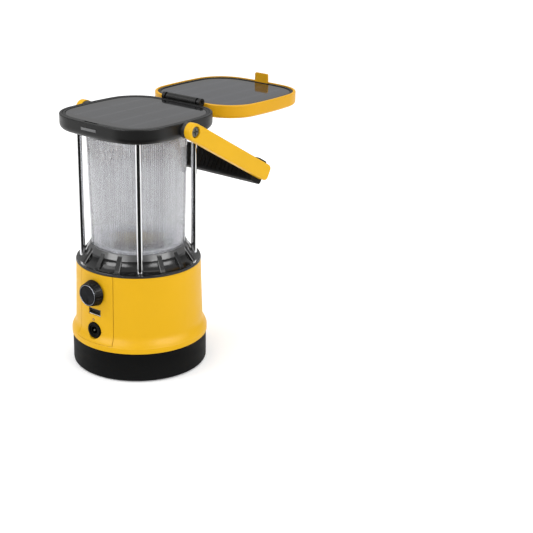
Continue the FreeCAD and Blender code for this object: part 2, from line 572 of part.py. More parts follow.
hs_ = []
for x in (-13.6, 13.6):
    hs_.append(cyl(2.4, 1.5, (x, 59.05, 219.4), (0, 1, 0)).fuse(cyl(1.25, 7.5, (x, 51.6, 219.4), (0, 1, 0))).removeSplitter())
write("hinge_screws_head", Part.makeCompound(hs_))
hl_ = []
for x in (-12.5, 12.5):
    hl_.append(cyl(2.1, 1.1, (x, 61.05, 220.2), (0, 1, 0)).fuse(cyl(1.25, 5.2, (x, 62.1, 220.2), (0, 1, 0))).removeSplitter())
write("hinge_screws_lid", Part.makeCompound(hl_))

# ---------------------------------------------------------------------------
# lid (open, panel side up)
# ---------------------------------------------------------------------------
lid = head_prism(0, LID_Z0, LID_Z1, LID_CY)
lid = lid.makeFillet(2.8, edges_at_z(lid, LID_Z0))
lid = lid.makeFillet(0.8, edges_at_z(lid, LID_Z1))
lid_floor = 222.8
lid = lid.cut(head_prism(HEAD_BORDER, lid_floor, LID_Z1 + 1, LID_CY))
lpocket = head_prism(7.0, LID_Z0 + 3.0, lid_floor + 0.5, LID_CY).cut(box(-20, 50, 214, 20, 72, 230))
lid = lid.cut(lpocket)
tab_pts = [V(-TAB_HALF, TAB_Y0, LID_Z1 - 4), V(TAB_HALF, TAB_Y0, LID_Z1 - 4), V(TAB_HALF - 0.4, TAB_Y0, TAB_Z1 - 0.8),
           V(TAB_HALF - 1.2, TAB_Y0, TAB_Z1), V(-TAB_HALF + 1.2, TAB_Y0, TAB_Z1), V(-TAB_HALF + 0.4, TAB_Y0, TAB_Z1 - 0.8)]
tab_pts.append(tab_pts[0])
tab = Part.Face(Part.makePolygon(tab_pts)).extrude(V(0, TAB_Y1 - TAB_Y0, 0))
lid = lid.fuse(tab)
lid = lid.cut(hn)
lid = lid.cut(box(-KN_OUT - 0.1, 60.9, 217.5, KN_OUT + 0.1, 63.25, 228))
for x in (-12.5, 12.5):
    lid = lid.cut(cyl(1.28, 6.0, (x, 61.6, 220.2), (0, 1, 0)))
# scooped eye-shaped recess with a round inlay on the outer face
EYE_W, EYE_H = 27.0, 12.0
er = (EYE_W * EYE_W + EYE_H * EYE_H) / (2 * EYE_H)
eye = cyl(er, 1.1, (0, LID_CY + er - EYE_H, LID_Z0 - 0.1)).common(cyl(er, 1.1, (0, LID_CY - er + EYE_H, LID_Z0 - 0.1)))
lid = lid.cut(eye).cut(cyl(11.0, 2.0, (0, LID_CY, LID_Z0)))
lid = lid.removeSplitter()
write("lid_shell", lid)
badge = cyl(10.9, 1.5, (0, LID_CY, LID_Z0 + 0.5))
badge = badge.makeFillet(0.4, edges_at_z(badge, LID_Z0 + 0.5))
write("lid_inlay", badge)
b_, c_, g_, f_ = solar(LID_CY, lid_floor, 3.3, box(-TAB_HALF - 0.1, TAB_Y0 - 0.1, 219, TAB_HALF + 0.1, TAB_Y1 + 3, 230))
write("lid_panel_backing", b_)
write("lid_solar_cells", c_)
write("lid_panel_cover", g_)
write("lid_panel_frame", f_)

# ---------------------------------------------------------------------------
# handle: two side arms and a two-shell grip, drawn along +Y and then tilted
# ---------------------------------------------------------------------------
def tilt(s):
    s = s.copy()
    s.rotate(V(0, 0, 0), V(1, 0, 0), ARM_TILT)
    s.translate(V(0, 0, PIVOT_Z))
    return s


def arm(sign):
    x0 = ARM_X0 if sign > 0 else -ARM_X1
    t = ARM_X1 - ARM_X0
    c = ARM_END_R
    h = ARM_HALF
    w = [Part.Arc(V(x0, 0, -h), V(x0, -h, 0), V(x0, 0, h)).toShape(),
         Part.makeLine(V(x0, 0, h), V(x0, ARM_L - c, h)),
         Part.Arc(V(x0, ARM_L - c, h), V(x0, ARM_L - c + c * 0.7071, h - c + c * 0.7071), V(x0, ARM_L, h - c)).toShape(),
         Part.makeLine(V(x0, ARM_L, h - c), V(x0, ARM_L, -h + c)),
         Part.Arc(V(x0, ARM_L, -h + c), V(x0, ARM_L - c + c * 0.7071, -h + c - c * 0.7071), V(x0, ARM_L - c, -h)).toShape(),
         Part.makeLine(V(x0, ARM_L - c, -h), V(x0, 0, -h))]
    a = Part.Face(Part.Wire(w)).extrude(V(t, 0, 0))
    xo = ARM_X1 if sign > 0 else -ARM_X1
    a = a.makeFillet(ARM_EDGE_R, [e for e in a.Edges if abs(e.BoundBox.XMin - xo) < 1e-4 and abs(e.BoundBox.XMax - xo) < 1e-4])
    xi = ARM_X0 if sign > 0 else -ARM_X0
    # bore and counterbore for the shoulder screw
    a = a.cut(cyl(SHOULDER_R + RUN, 30, (-80 if sign < 0 else 50, 0, 0), (1, 0, 0)))
    if sign > 0:
        a = a.cut(cyl(5.0, 10, (64.7, 0, 0), (1, 0, 0)))
        a = a.cut(box(62.8, 14, 3.2, 66.0, 96, 12))
        a = a.cut(box(ARM_X0 - 1, 101.4, -5.1, 64.4, 106.6, 5.1))
    else:
        a = a.cut(cyl(5.0, 10, (-74.7, 0, 0), (1, 0, 0)))
        a = a.cut(box(-66.0, 14, 3.2, -62.8, 96, 12))
        a = a.cut(box(-64.4, 101.4, -5.1, -ARM_X0 + 1, 106.6, 5.1))
    return tilt(a.removeSplitter())


write("handle_arm_right", arm(1))
write("handle_arm_left", arm(-1))

gx = ARM_X0
split = 107.5
g1 = box(-gx, GRIP_L0, -GRIP_LOW, gx, ARM_L, GRIP_HALF)
g1 = g1.makeFillet(3.2, [e for e in g1.Edges if e.BoundBox.XLength > 100])
inner = g1.common(box(-70, GRIP_L0 - 1, -20, 70, split - 0.03, 20))
outer = g1.common(box(-70, split, -20, 70, ARM_L + 1, 20))
cuts = []
for i in range(23):
    x = -52.8 + i * 4.8
    cuts.append(box(x - 0.55, GRIP_L0 - 1, -GRIP_LOW - 1, x + 0.55, GRIP_L0 + 0.55, GRIP_HALF + 1))
inner = inner.cut(cuts)
inner = inner.cut(box(-54, 103.4, -8.0, 54, split + 1, 6.0))
outer = outer.cut(box(-54, split - 1, -8.0, 54, 111.6, 6.0))
inner = inner.fuse([box(gx - 0.5, 101.5, -5.0, 64.3, 106.5, 5.0), box(-64.3, 101.5, -5.0, -gx + 0.5, 106.5, 5.0)])
post_i = [cyl(4.0, split - 0.03 - 103.0, (x, 103.0, 0), (0, 1, 0)) for x in (-40, 40)]
inner = inner.fuse(post_i)
outer = outer.fuse([cyl(4.0, 4.6, (x, split, 0), (0, 1, 0)) for x in (-40, 40)])
for x in (-40, 40):
    inner = inner.cut(cyl(1.5, 6.0, (x, 102.5, 0), (0, 1, 0)))
    outer = outer.cut(cyl(1.7, 12, (x, 106, 0), (0, 1, 0))).cut(cyl(3.2, 6, (x, 112.4, 0), (0, 1, 0)))
write("grip_inner", tilt(inner.removeSplitter()))
write("grip_outer", tilt(outer.removeSplitter()))
gs = []
for x in (-40, 40):
    s = cyl(3.0, 1.9, (x, 112.45, 0), (0, 1, 0)).fuse(cyl(1.48, 9.5, (x, 102.97, 0), (0, 1, 0))).removeSplitter()
    s = s.cut(box(x - 2.0, 113.6, -0.4, x + 2.0, 115, 0.4)).cut(box(x - 0.4, 113.6, -2.0, x + 0.4, 115, 2.0))
    gs.append(tilt(s))
write("grip_screws", Part.makeCompound(gs))

# shoulder screws, fixed in the head; the arms turn on their shoulders
ps, wash = [], []
for s in (-1, 1):
    sc = cyl(2.0, 10.2, (46.2, 0, 0), (1, 0, 0)).fuse([cyl(SHOULDER_R, 8.45, (56.3, 0, 0), (1, 0, 0)), cyl(4.4, 2.0, (64.75, 0, 0), (1, 0, 0))])
    sc = sc.removeSplitter()
    sc = sc.makeFillet(0.5, [e for e in sc.Edges if abs(e.BoundBox.XMin - 66.75) < 1e-3 and abs(e.BoundBox.XMax - 66.75) < 1e-3])
    sc = sc.cut(box(65.7, -2.9, -0.5, 67, 2.9, 0.5)).cut(box(65.7, -0.5, -2.9, 67, 0.5, 2.9))
    wa = tube(6.8, SHOULDER_R + RUN, ARM_X0 - 56.32 - 0.1, (56.32, 0, 0), (1, 0, 0))
    if s < 0:
        sc = sc.mirror(V(0, 0, 0), V(1, 0, 0))
        wa = wa.mirror(V(0, 0, 0), V(1, 0, 0))
    sc.translate(V(0, 0, PIVOT_Z))
    wa.translate(V(0, 0, PIVOT_Z))
    ps.append(sc)
    wash.append(wa)
write("pivot_screws", Part.makeCompound(ps))
write("pivot_washers", Part.makeCompound(wash))
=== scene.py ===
import bpy, bmesh, math
import numpy as np
from mathutils import Vector, Matrix


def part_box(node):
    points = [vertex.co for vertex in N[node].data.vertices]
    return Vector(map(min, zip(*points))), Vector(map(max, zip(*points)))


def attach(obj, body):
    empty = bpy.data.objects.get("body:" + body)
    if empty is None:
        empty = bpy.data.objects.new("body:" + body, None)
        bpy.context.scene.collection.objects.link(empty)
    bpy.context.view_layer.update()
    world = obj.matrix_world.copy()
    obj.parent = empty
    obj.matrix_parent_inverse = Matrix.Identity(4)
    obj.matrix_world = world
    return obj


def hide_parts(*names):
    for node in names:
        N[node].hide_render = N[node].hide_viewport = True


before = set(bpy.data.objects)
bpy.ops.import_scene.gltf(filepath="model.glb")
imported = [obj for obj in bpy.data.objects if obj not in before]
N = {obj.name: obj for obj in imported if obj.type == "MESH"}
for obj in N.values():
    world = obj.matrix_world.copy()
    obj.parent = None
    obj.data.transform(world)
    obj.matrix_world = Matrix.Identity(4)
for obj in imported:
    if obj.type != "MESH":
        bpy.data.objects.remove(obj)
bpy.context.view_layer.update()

scene = bpy.context.scene
scene.view_settings.view_transform = 'Standard'


# ---------------------------------------------------------------------------
# node graph helpers
# ---------------------------------------------------------------------------
class G:
    """A small wrapper that builds one material's node graph."""

    def __init__(self, name):
        self.m = bpy.data.materials.new(name)
        self.m.use_nodes = True
        self.nt = self.m.node_tree
        self.nt.nodes.clear()
        self.out = self.n('ShaderNodeOutputMaterial')
        self.tc = self.n('ShaderNodeTexCoord')
        self.obj = self.tc.outputs['Object']

    def n(self, kind, **kw):
        nd = self.nt.nodes.new(kind)
        for k, v in kw.items():
            setattr(nd, k, v)
        return nd

    def put(self, sock, v):
        if isinstance(v, bpy.types.NodeSocket):
            self.nt.links.new(v, sock)
        elif v is not None:
            if hasattr(sock, 'default_value'):
                try:
                    sock.default_value = v
                except (TypeError, ValueError):
                    sock.default_value = (*v, 1.0)

    def math(self, op, a, b=None, c=None, clamp=False):
        nd = self.n('ShaderNodeMath', operation=op, use_clamp=clamp)
        for i, v in enumerate((a, b, c)):
            if v is not None:
                self.put(nd.inputs[i], v)
        return nd.outputs[0]

    def noise(self, scale, detail=2.0, rough=0.5, vec=None, dist=0.0):
        nd = self.n('ShaderNodeTexNoise')
        self.put(nd.inputs['Vector'], vec or self.obj)
        nd.inputs['Scale'].default_value = scale
        nd.inputs['Detail'].default_value = detail
        nd.inputs['Roughness'].default_value = rough
        nd.inputs['Distortion'].default_value = dist
        return nd.outputs['Fac']

    def rng(self, v, a, b, c, d, smooth=False):
        nd = self.n('ShaderNodeMapRange')
        if smooth:
            nd.interpolation_type = 'SMOOTHSTEP'
        self.put(nd.inputs[0], v)
        for i, x in enumerate((a, b, c, d)):
            nd.inputs[i + 1].default_value = x
        return nd.outputs[0]

    def mix(self, f, a, b, blend='MIX'):
        nd = self.n('ShaderNodeMix', data_type='RGBA', blend_type=blend)
        self.put(nd.inputs[0], f)
        self.put(nd.inputs[6], a if isinstance(a, bpy.types.NodeSocket) else (*a[:3], 1))
        self.put(nd.inputs[7], b if isinstance(b, bpy.types.NodeSocket) else (*b[:3], 1))
        return nd.outputs[2]

    def scaled(self, s, off=(0, 0, 0)):
        nd = self.n('ShaderNodeMapping')
        self.put(nd.inputs['Vector'], self.obj)
        nd.inputs['Scale'].default_value = s
        nd.inputs['Location'].default_value = off
        return nd.outputs[0]

    def xyz(self):
        nd = self.n('ShaderNodeSeparateXYZ')
        self.put(nd.inputs[0], self.obj)
        return nd.outputs

    def bevel(self, r):
        nd = self.n('ShaderNodeBevel', samples=4)
        nd.inputs['Radius'].default_value = r
        return nd.outputs[0]

    def edge(self, bev):
        """0 on flat ground, 1 along a crisp edge."""
        g = self.n('ShaderNodeNewGeometry')
        d = self.n('ShaderNodeVectorMath', operation='DOT_PRODUCT')
        self.put(d.inputs[0], bev)
        self.put(d.inputs[1], g.outputs['Normal'])
        return self.rng(d.outputs['Value'], 0.985, 0.90, 0.0, 1.0)

    def bump(self, h, strength, dist, normal=None):
        nd = self.n('ShaderNodeBump')
        self.put(nd.inputs['Height'], h)
        nd.inputs['Strength'].default_value = strength
        nd.inputs['Distance'].default_value = dist
        if normal is not None:
            self.put(nd.inputs['Normal'], normal)
        return nd.outputs[0]

    def bsdf(self, **kw):
        b = self.n('ShaderNodeBsdfPrincipled')
        for k, v in kw.items():
            self.put(b.inputs[k.replace('_', ' ')], v)
        return b

    def done(self, shader):
        self.nt.links.new(shader.outputs[0] if hasattr(shader, 'outputs') else shader, self.out.inputs[0])
        return self.m


def plastic(name, base, rough=0.35, spec=0.5, grain=0.0006, grain_h=0.00001, grain_s=0.35, vary=0.05, edge_to=None,
            edge_amt=0.35, bevel=0.00035, painted_reflection_band=None, coat=0.0):
    """Moulded plastic: slow colour drift, a fine spark-eroded texture, uneven gloss, and edges painted lighter, partly
    as handling wear and partly as a painted edge highlight.
    """
    g = G(name)
    slow = g.noise(14.0, 3.0, 0.55)
    dark = tuple(c * (1 - vary) for c in base)
    light = tuple(min(1.0, c * (1 + vary)) for c in base)
    col = g.mix(g.rng(slow, 0.3, 0.7, 0, 1), dark, light)
    if painted_reflection_band:
        # lighter grey painted on the cone above height zb and no further out than the line r0 + k (z - z1): a painted
        # reflection of the bright sky it faces
        zb, r0, z1, k, tone = painted_reflection_band
        x, y, z = g.xyz()
        rr = g.math('SQRT', g.math('ADD', g.math('MULTIPLY', x, x), g.math('MULTIPLY', y, y)))
        line = g.math('ADD', g.math('MULTIPLY', g.math('SUBTRACT', z, z1), k), r0 + 0.0002)
        on = g.math('MULTIPLY', g.math('LESS_THAN', rr, line), g.rng(z, zb - 0.0004, zb + 0.0004, 0.0, 1.0, True))
        col = g.mix(on, col, tone)
    bev = g.bevel(bevel)
    # edges painted lighter: partly handling wear, partly a painted highlight along each edge
    e = g.math('MULTIPLY', g.edge(bev), g.rng(g.noise(240.0, 3.0), 0.35, 0.7, 0.25, 1.0))
    e = g.math('MULTIPLY', e, edge_amt)
    if edge_to is None:
        edge_to = tuple(min(1.0, c * 1.25 + 0.015) for c in base)
    col = g.mix(e, col, edge_to)
    scuff = g.noise(1.0, 4.0, 0.6, g.scaled((35, 35, 160)))
    r = g.math('ADD', rough, g.rng(scuff, 0.3, 0.75, -0.035, 0.05))
    r = g.math('ADD', r, g.rng(g.noise(90.0, 2.0), 0.3, 0.7, -0.02, 0.03))
    fine = g.noise(1.0 / grain, 2.0, 0.6)
    peel = g.noise(260.0, 1.0, 0.4)
    nb = g.bump(peel, 0.12, 0.00002, bev)
    nb = g.bump(fine, grain_s, grain_h, nb)
    b = g.bsdf(Base_Color=col, Roughness=r, IOR=1.5, Normal=nb)
    b.inputs['Specular IOR Level'].default_value = spec
    if coat:
        b.inputs['Coat Weight'].default_value = coat
        b.inputs['Coat Roughness'].default_value = 0.08
    return g.done(b)


def metal(name, base, rough=0.12, aniso=0.0, brush=None, bump=0.15, bevel=0.0002):
    """Plated or machined metal: drawn or turned lines, handling haze and small pits."""
    g = G(name)
    bev = g.bevel(bevel)
    vec = g.scaled(brush or (60, 60, 60))
    lines = g.noise(1.0, 3.0, 0.7, vec)
    haze = g.noise(45.0, 4.0, 0.6)
    col = g.mix(g.rng(haze, 0.35, 0.7, 0, 1), tuple(c * 0.94 for c in base), base)
    r = g.math('ADD', rough, g.rng(haze, 0.35, 0.75, -0.02, 0.05))
    r = g.math('ADD', r, g.rng(lines, 0.3, 0.7, -0.02, 0.03))
    nb = g.bump(lines, bump, 0.000006, bev)
    b = g.bsdf(Base_Color=col, Metallic=1.0, Roughness=r, Normal=nb)
    b.inputs['Anisotropic'].default_value = aniso
    return g.done(b)


YELLOW = (0.720, 0.398, 0.0042)
M = {}
M['yellow'] = plastic('yellow_plastic', YELLOW, 0.40, 0.14, vary=0.03, edge_to=(0.90, 0.58, 0.07), edge_amt=0.4)
# painted shade: the lid's yellow is a darker, more orange copy of the housing's yellow
M['yellow_lid_painted_shade'] = plastic('yellow_plastic_lid_painted_shade', (0.684, 0.350, 0.0042), 0.38, 0.16, vary=0.03, edge_to=(0.84, 0.50, 0.05), edge_amt=0.4)
M['black_base'] = plastic('black_base_plastic', (0.0036, 0.0038, 0.0038), 0.55, 0.06, grain=0.0009, grain_h=0.00003, grain_s=0.5,
                          vary=0.12, edge_amt=0.5)
M['black_satin'] = plastic('black_satin_plastic', (0.0062, 0.0062, 0.0060), 0.36, 0.22, grain=0.0007, grain_h=0.000012, vary=0.10, edge_amt=0.55)
# painted highlight: the collar's edges, its rib edges among them, are painted far lighter than its black body
M['collar'] = plastic('collar_plastic', (0.0036, 0.0036, 0.0038), 0.19, 0.33, grain=0.0008, grain_h=0.000008, vary=0.10,
                      edge_to=(0.10, 0.10, 0.10), edge_amt=0.7, painted_reflection_band=(0.1064, 0.04255, 0.1111, -0.5732, (0.070, 0.070, 0.071)))
M['trim'] = plastic('trim_plastic', (0.027, 0.0275, 0.030), 0.34, 0.16, vary=0.05, edge_amt=0.5)
M['grip'] = plastic('grip_plastic', (0.0030, 0.0030, 0.0028), 0.6, 0.10, grain=0.0008, grain_h=0.00004, grain_s=0.6, vary=0.12, edge_amt=0.4)
M['knob'] = plastic('knob_plastic', (0.0032, 0.0032, 0.0032), 0.38, 0.14, grain=0.0007, vary=0.1, edge_amt=0.6)
M['chrome'] = metal('rod_chrome', (0.80, 0.80, 0.81), 0.05, 0.0, (300, 300, 20), 0.1)
M['steel'] = metal('zinc_steel', (0.62, 0.62, 0.63), 0.24, 0.2, (500, 500, 500), 0.3)
M['alloy'] = metal('turned_alloy', (0.70, 0.71, 0.72), 0.3, 0.3, (40, 40, 1500), 0.3)
M['nickel'] = metal('nickel_strip', (0.68, 0.66, 0.60), 0.3, 0.2, (900, 60, 60), 0.3)
M['rubber'] = plastic('foot_rubber', (0.012, 0.012, 0.012), 0.8, 0.25, grain=0.0012, grain_h=0.00005, grain_s=0.7, vary=0.15)
M['seal'] = plastic('seal_rubber', (0.03, 0.03, 0.03), 0.7, 0.25, vary=0.1)
M['white'] = plastic('white_plastic', (0.80, 0.80, 0.78), 0.45, 0.4, vary=0.03)
M['sink'] = plastic('lamp_body_olive', (0.105, 0.070, 0.018), 0.4, 0.3, vary=0.15)
M['lamp_pcb'] = plastic('lamp_board_mask', (0.24, 0.18, 0.07), 0.35, 0.4, grain=0.0005, vary=0.08)
M['reflector'] = plastic('reflector_plastic', (0.70, 0.70, 0.72), 0.4, 0.4, vary=0.03)
M['frame'] = plastic('panel_frame_plastic', (0.008, 0.0082, 0.0088), 0.42, 0.20, grain=0.0007, vary=0.1, edge_amt=0.4)
M['jack'] = plastic('jack_plastic', (0.0022, 0.0022, 0.0022), 0.40, 0.06, vary=0.1, edge_amt=0.3)
M['screw'] = metal('blackened_screw', (0.11, 0.108, 0.09), 0.3, 0.2, (500, 500, 500), 0.3)
M['ring'] = metal('knob_ring_metal', (0.34, 0.36, 0.40), 0.28, 0.2, (500, 500, 500), 0.2)
M['board'] = plastic('board_mask', (0.02, 0.12, 0.045), 0.35, 0.45, grain=0.0005, vary=0.12)
M['parts'] = plastic('part_packages', (0.02, 0.02, 0.022), 0.45, 0.4, vary=0.15)
M['cell'] = plastic('cell_wrap', (0.05, 0.13, 0.30), 0.25, 0.5, vary=0.06)
M['backing'] = plastic('panel_backing', (0.02, 0.03, 0.03), 0.5, 0.4, vary=0.08)
M['nylon'] = plastic('washer_nylon', (0.02, 0.02, 0.02), 0.5, 0.4, vary=0.08)
M['plate'] = plastic('plate_print', (0.115, 0.115, 0.118), 0.38, 0.45, vary=0.06)
M['inlay'] = plastic('lid_inlay_gloss', (0.020, 0.026, 0.055), 0.12, 0.5, vary=0.08, coat=0.6)
M['phosphor'] = plastic('lamp_phosphor', (0.40, 0.30, 0.12), 0.45, 0.4, vary=0.08)
M['led'] = plastic('indicator_lens', (0.34, 0.13, 0.012), 0.15, 0.5, vary=0.05, coat=0.8)


def solar(name, cx, cy, tint):
    """Dark cells with fine silver fingers and two busbars each, under a glossy cover sheet."""
    g = G(name)
    x, y, z = g.xyz()
    u = g.math('SUBTRACT', x, cx)
    v = g.math('SUBTRACT', y, cy)

    def stripe(c, pitch, width, off=0.0):
        f = g.math('FRACT', g.math('ADD', g.math('DIVIDE', c, pitch), 100.5 + off))
        d = g.math('ABSOLUTE', g.math('SUBTRACT', f, 0.5))
        return g.math('LESS_THAN', d, width / pitch / 2)

    au, av = g.math('ABSOLUTE', u), g.math('ABSOLUTE', v)
    inside = g.math('MULTIPLY', g.math('LESS_THAN', au, 0.0416), g.math('LESS_THAN', av, 0.0416))
    gap = g.math('MAXIMUM', g.math('LESS_THAN', au, 0.0008), g.math('LESS_THAN', av, 0.0008))
    cellm = g.math('MULTIPLY', inside, g.math('SUBTRACT', 1.0, gap))
    fingers = stripe(v, 0.0017, 0.00012)
    bus = g.math('LESS_THAN', g.math('ABSOLUTE', g.math('SUBTRACT', g.math('PINGPONG', g.math('ADD', u, 0.0), 0.0212), 0.0112)), 0.0005)
    silver = g.math('MULTIPLY', cellm, g.math('MAXIMUM', g.math('MULTIPLY', fingers, 0.35), bus))
    slow = g.noise(22.0, 3.0, 0.6)
    flake = g.n('ShaderNodeTexVoronoi')
    g.put(flake.inputs['Vector'], g.obj)
    flake.inputs['Scale'].default_value = 210.0
    cellc = g.mix(g.rng(slow, 0.3, 0.7, 0, 1), tuple(c * 0.8 for c in tint), tint)
    cellc = g.mix(g.math('MULTIPLY', g.rng(flake.outputs['Distance'], 0.0, 1.0, 0.0, 1.0), 0.25), cellc, tuple(c * 1.6 for c in tint))
    col = g.mix(cellm, (0.007, 0.007, 0.008), cellc)
    col = g.mix(g.math('MULTIPLY', silver, 0.5), col, (0.10, 0.10, 0.11))
    bev = g.bevel(0.0003)
    wave = g.noise(38.0, 2.0, 0.5)
    nb = g.bump(wave, 0.10, 0.00006, bev)
    nb = g.bump(g.noise(900.0, 2.0), 0.05, 0.000004, nb)
    r = g.math('ADD', 0.055, g.rng(g.noise(30.0, 5.0, 0.65), 0.4, 0.75, 0.0, 0.06))
    b = g.bsdf(Base_Color=col, Roughness=r, IOR=1.5, Normal=nb)
    b.inputs['Specular IOR Level'].default_value = 0.5
    return g.done(b)


M['solar_head'] = solar('solar_sheet_head', 0.0, 0.0, (0.010, 0.011, 0.015))
M['solar_lid'] = solar('solar_sheet_lid', 0.0, 0.1188, (0.009, 0.011, 0.018))
M['cells_bare'] = solar('solar_cells_bare', 0.0, 0.0, (0.010, 0.014, 0.035))


def spun(name, cx, cz, base):
    """Spun face: fine rings about the spindle, seen on the knob's front, with a painted sheen: a lighter fan at one
    fixed angle.
    """
    g = G(name)
    x, y, z = g.xyz()
    dx, dz = g.math('SUBTRACT', x, cx), g.math('SUBTRACT', z, cz)
    rr = g.math('SQRT', g.math('ADD', g.math('MULTIPLY', dx, dx), g.math('MULTIPLY', dz, dz)))
    comb = g.n('ShaderNodeCombineXYZ')
    g.put(comb.inputs[0], g.math('MULTIPLY', rr, 5200.0))
    ang = g.math('ARCTAN2', dz, dx)
    g.put(comb.inputs[1], g.math('MULTIPLY', ang, 0.6))
    rings = g.noise(1.0, 3.0, 0.7, comb.outputs[0])
    # painted sheen: a lighter fan across the face at a fixed angle
    painted_sheen_fan = g.math('POWER', g.math('ABSOLUTE', g.math('COSINE', g.math('ADD', ang, 0.6))), 6.0)
    col = g.mix(g.math('MULTIPLY', painted_sheen_fan, 0.5), base, tuple(min(1, c * 2.6) for c in base))
    col = g.mix(g.rng(rings, 0.3, 0.7, 0.0, 0.5), col, tuple(c * 0.6 for c in base))
    nb = g.bump(rings, 0.35, 0.000012, g.bevel(0.0002))
    b = g.bsdf(Base_Color=col, Metallic=0.7, Roughness=g.rng(rings, 0.3, 0.7, 0.26, 0.42), Normal=nb)
    b.inputs['Specular IOR Level'].default_value = 0.1
    return g.done(b)


M['knob_face'] = spun('knob_face_metal', 0.0, 0.0771, (0.0065, 0.007, 0.0085))


def lit_lip_shaded_top_metal(name, z, dark, bright, rough=0.3):
    """Tinned shell with painted light: a painted highlight on its lower lip and painted shade above it, where the
    recess lies in shadow.
    """
    g = G(name)
    x, y, zz = g.xyz()
    # painted light: 1 below height z (painted highlight on the lip), 0 above it (painted shade)
    low = g.rng(zz, z - 0.0003, z + 0.0003, 1.0, 0.0, True)
    bev = g.bevel(0.00015)
    haze = g.noise(300.0, 4.0, 0.6)
    col = g.mix(low, dark, bright)
    col = g.mix(g.math('MULTIPLY', g.rng(haze, 0.35, 0.7, 0, 1), 0.3), col, tuple(c * 0.7 for c in dark))
    r = g.math('ADD', rough, g.rng(haze, 0.3, 0.75, -0.03, 0.06))
    b = g.bsdf(Base_Color=col, Metallic=1.0, Roughness=r, Normal=g.bump(haze, 0.2, 0.000006, bev))
    return g.done(b)


def clear_cup(name):
    """Thin clear plastic, faintly milky, that shows mostly at its rim."""
    g = G(name)
    haze = g.noise(90.0, 3.0, 0.5)
    bev = g.bevel(0.0004)
    b = g.bsdf(Base_Color=g.mix(g.rng(haze, 0.3, 0.7, 0, 1), (0.74, 0.745, 0.76), (0.82, 0.825, 0.84)), Roughness=g.rng(haze, 0.3, 0.7, 0.12, 0.22),
               IOR=1.45, Normal=bev)
    t = g.n('ShaderNodeBsdfTransparent')
    t.inputs[0].default_value = (0.95, 0.955, 0.965, 1)
    mx = g.n('ShaderNodeMixShader')
    g.put(mx.inputs[0], g.math('ADD', 0.10, g.math('MULTIPLY', g.edge(bev), 0.5)))
    g.nt.links.new(t.outputs[0], mx.inputs[1])
    g.nt.links.new(b.outputs[0], mx.inputs[2])
    return g.done(mx)


# the shell's bright lip and dark upper part are a painted highlight and painted shade
M['usb'] = lit_lip_shaded_top_metal('usb_shell_tin_painted_light', 0.0593 - 0.0021, (0.10, 0.095, 0.08), (0.90, 0.88, 0.80))
M['cup'] = clear_cup('lamp_cup_plastic')


def tube_material():
    """Smoke-tinted clear plastic with moulded ribs: light passes, and shapes behind it blur."""
    g = G('ribbed_tube_plastic')
    haze = g.noise(1.0, 3.0, 0.5, g.scaled((60, 60, 12)))
    col = g.mix(g.rng(haze, 0.3, 0.7, 0, 1), (0.795, 0.800, 0.812), (0.815, 0.820, 0.832))
    # fine streaks and wide bands of lighter and darker tint, running up the wall
    line = g.noise(1.0, 2.0, 0.6, g.scaled((430, 430, 2.0)))
    wide = g.noise(1.0, 1.0, 0.5, g.scaled((75, 75, 1.0), (3.1, 1.7, 0.0)))
    tone = g.math('MULTIPLY', g.rng(line, 0.32, 0.68, 0.86, 1.09), g.rng(wide, 0.35, 0.65, 0.93, 1.06))
    lay = g.n('ShaderNodeVectorMath', operation='SCALE')
    g.put(lay.inputs[0], col)
    g.put(lay.inputs[3], tone)
    col = lay.outputs[0]
    lw = g.n('ShaderNodeLayerWeight')
    lw.inputs[0].default_value = 0.5
    col = g.mix(g.rng(lw.outputs['Facing'], 0.55, 1.0, 0.0, 0.75), col, (0.62, 0.625, 0.635))
    fine = g.noise(1.0, 2.0, 0.5, g.scaled((500, 500, 30)))
    r = g.math('ADD', 0.035, g.rng(fine, 0.3, 0.7, -0.01, 0.02))
    b = g.bsdf(Base_Color=col, Roughness=r, IOR=1.45)
    b.inputs['Transmission Weight'].default_value = 1.0
    milk = g.n('ShaderNodeBsdfTranslucent')
    milk.inputs[0].default_value = (0.54, 0.545, 0.56, 1)
    mx = g.n('ShaderNodeMixShader')
    mx.inputs[0].default_value = 0.15
    flat = g.n('ShaderNodeBsdfTransparent')
    g.put(flat.inputs[0], col)
    part = g.n('ShaderNodeMixShader')
    part.inputs[0].default_value = 0.22
    g.nt.links.new(b.outputs[0], part.inputs[1])
    g.nt.links.new(flat.outputs[0], part.inputs[2])
    g.nt.links.new(part.outputs[0], mx.inputs[1])
    g.nt.links.new(milk.outputs[0], mx.inputs[2])
    # lamps shine through the wall instead of being stopped by it
    lp = g.n('ShaderNodeLightPath')
    thin = g.n('ShaderNodeBsdfTransparent')
    thin.inputs[0].default_value = (0.86, 0.865, 0.88, 1)
    sh = g.n('ShaderNodeMixShader')
    g.nt.links.new(lp.outputs['Is Shadow Ray'], sh.inputs[0])
    g.nt.links.new(mx.outputs[0], sh.inputs[1])
    g.nt.links.new(thin.outputs[0], sh.inputs[2])
    return g.done(sh)


M['tube'] = tube_material()

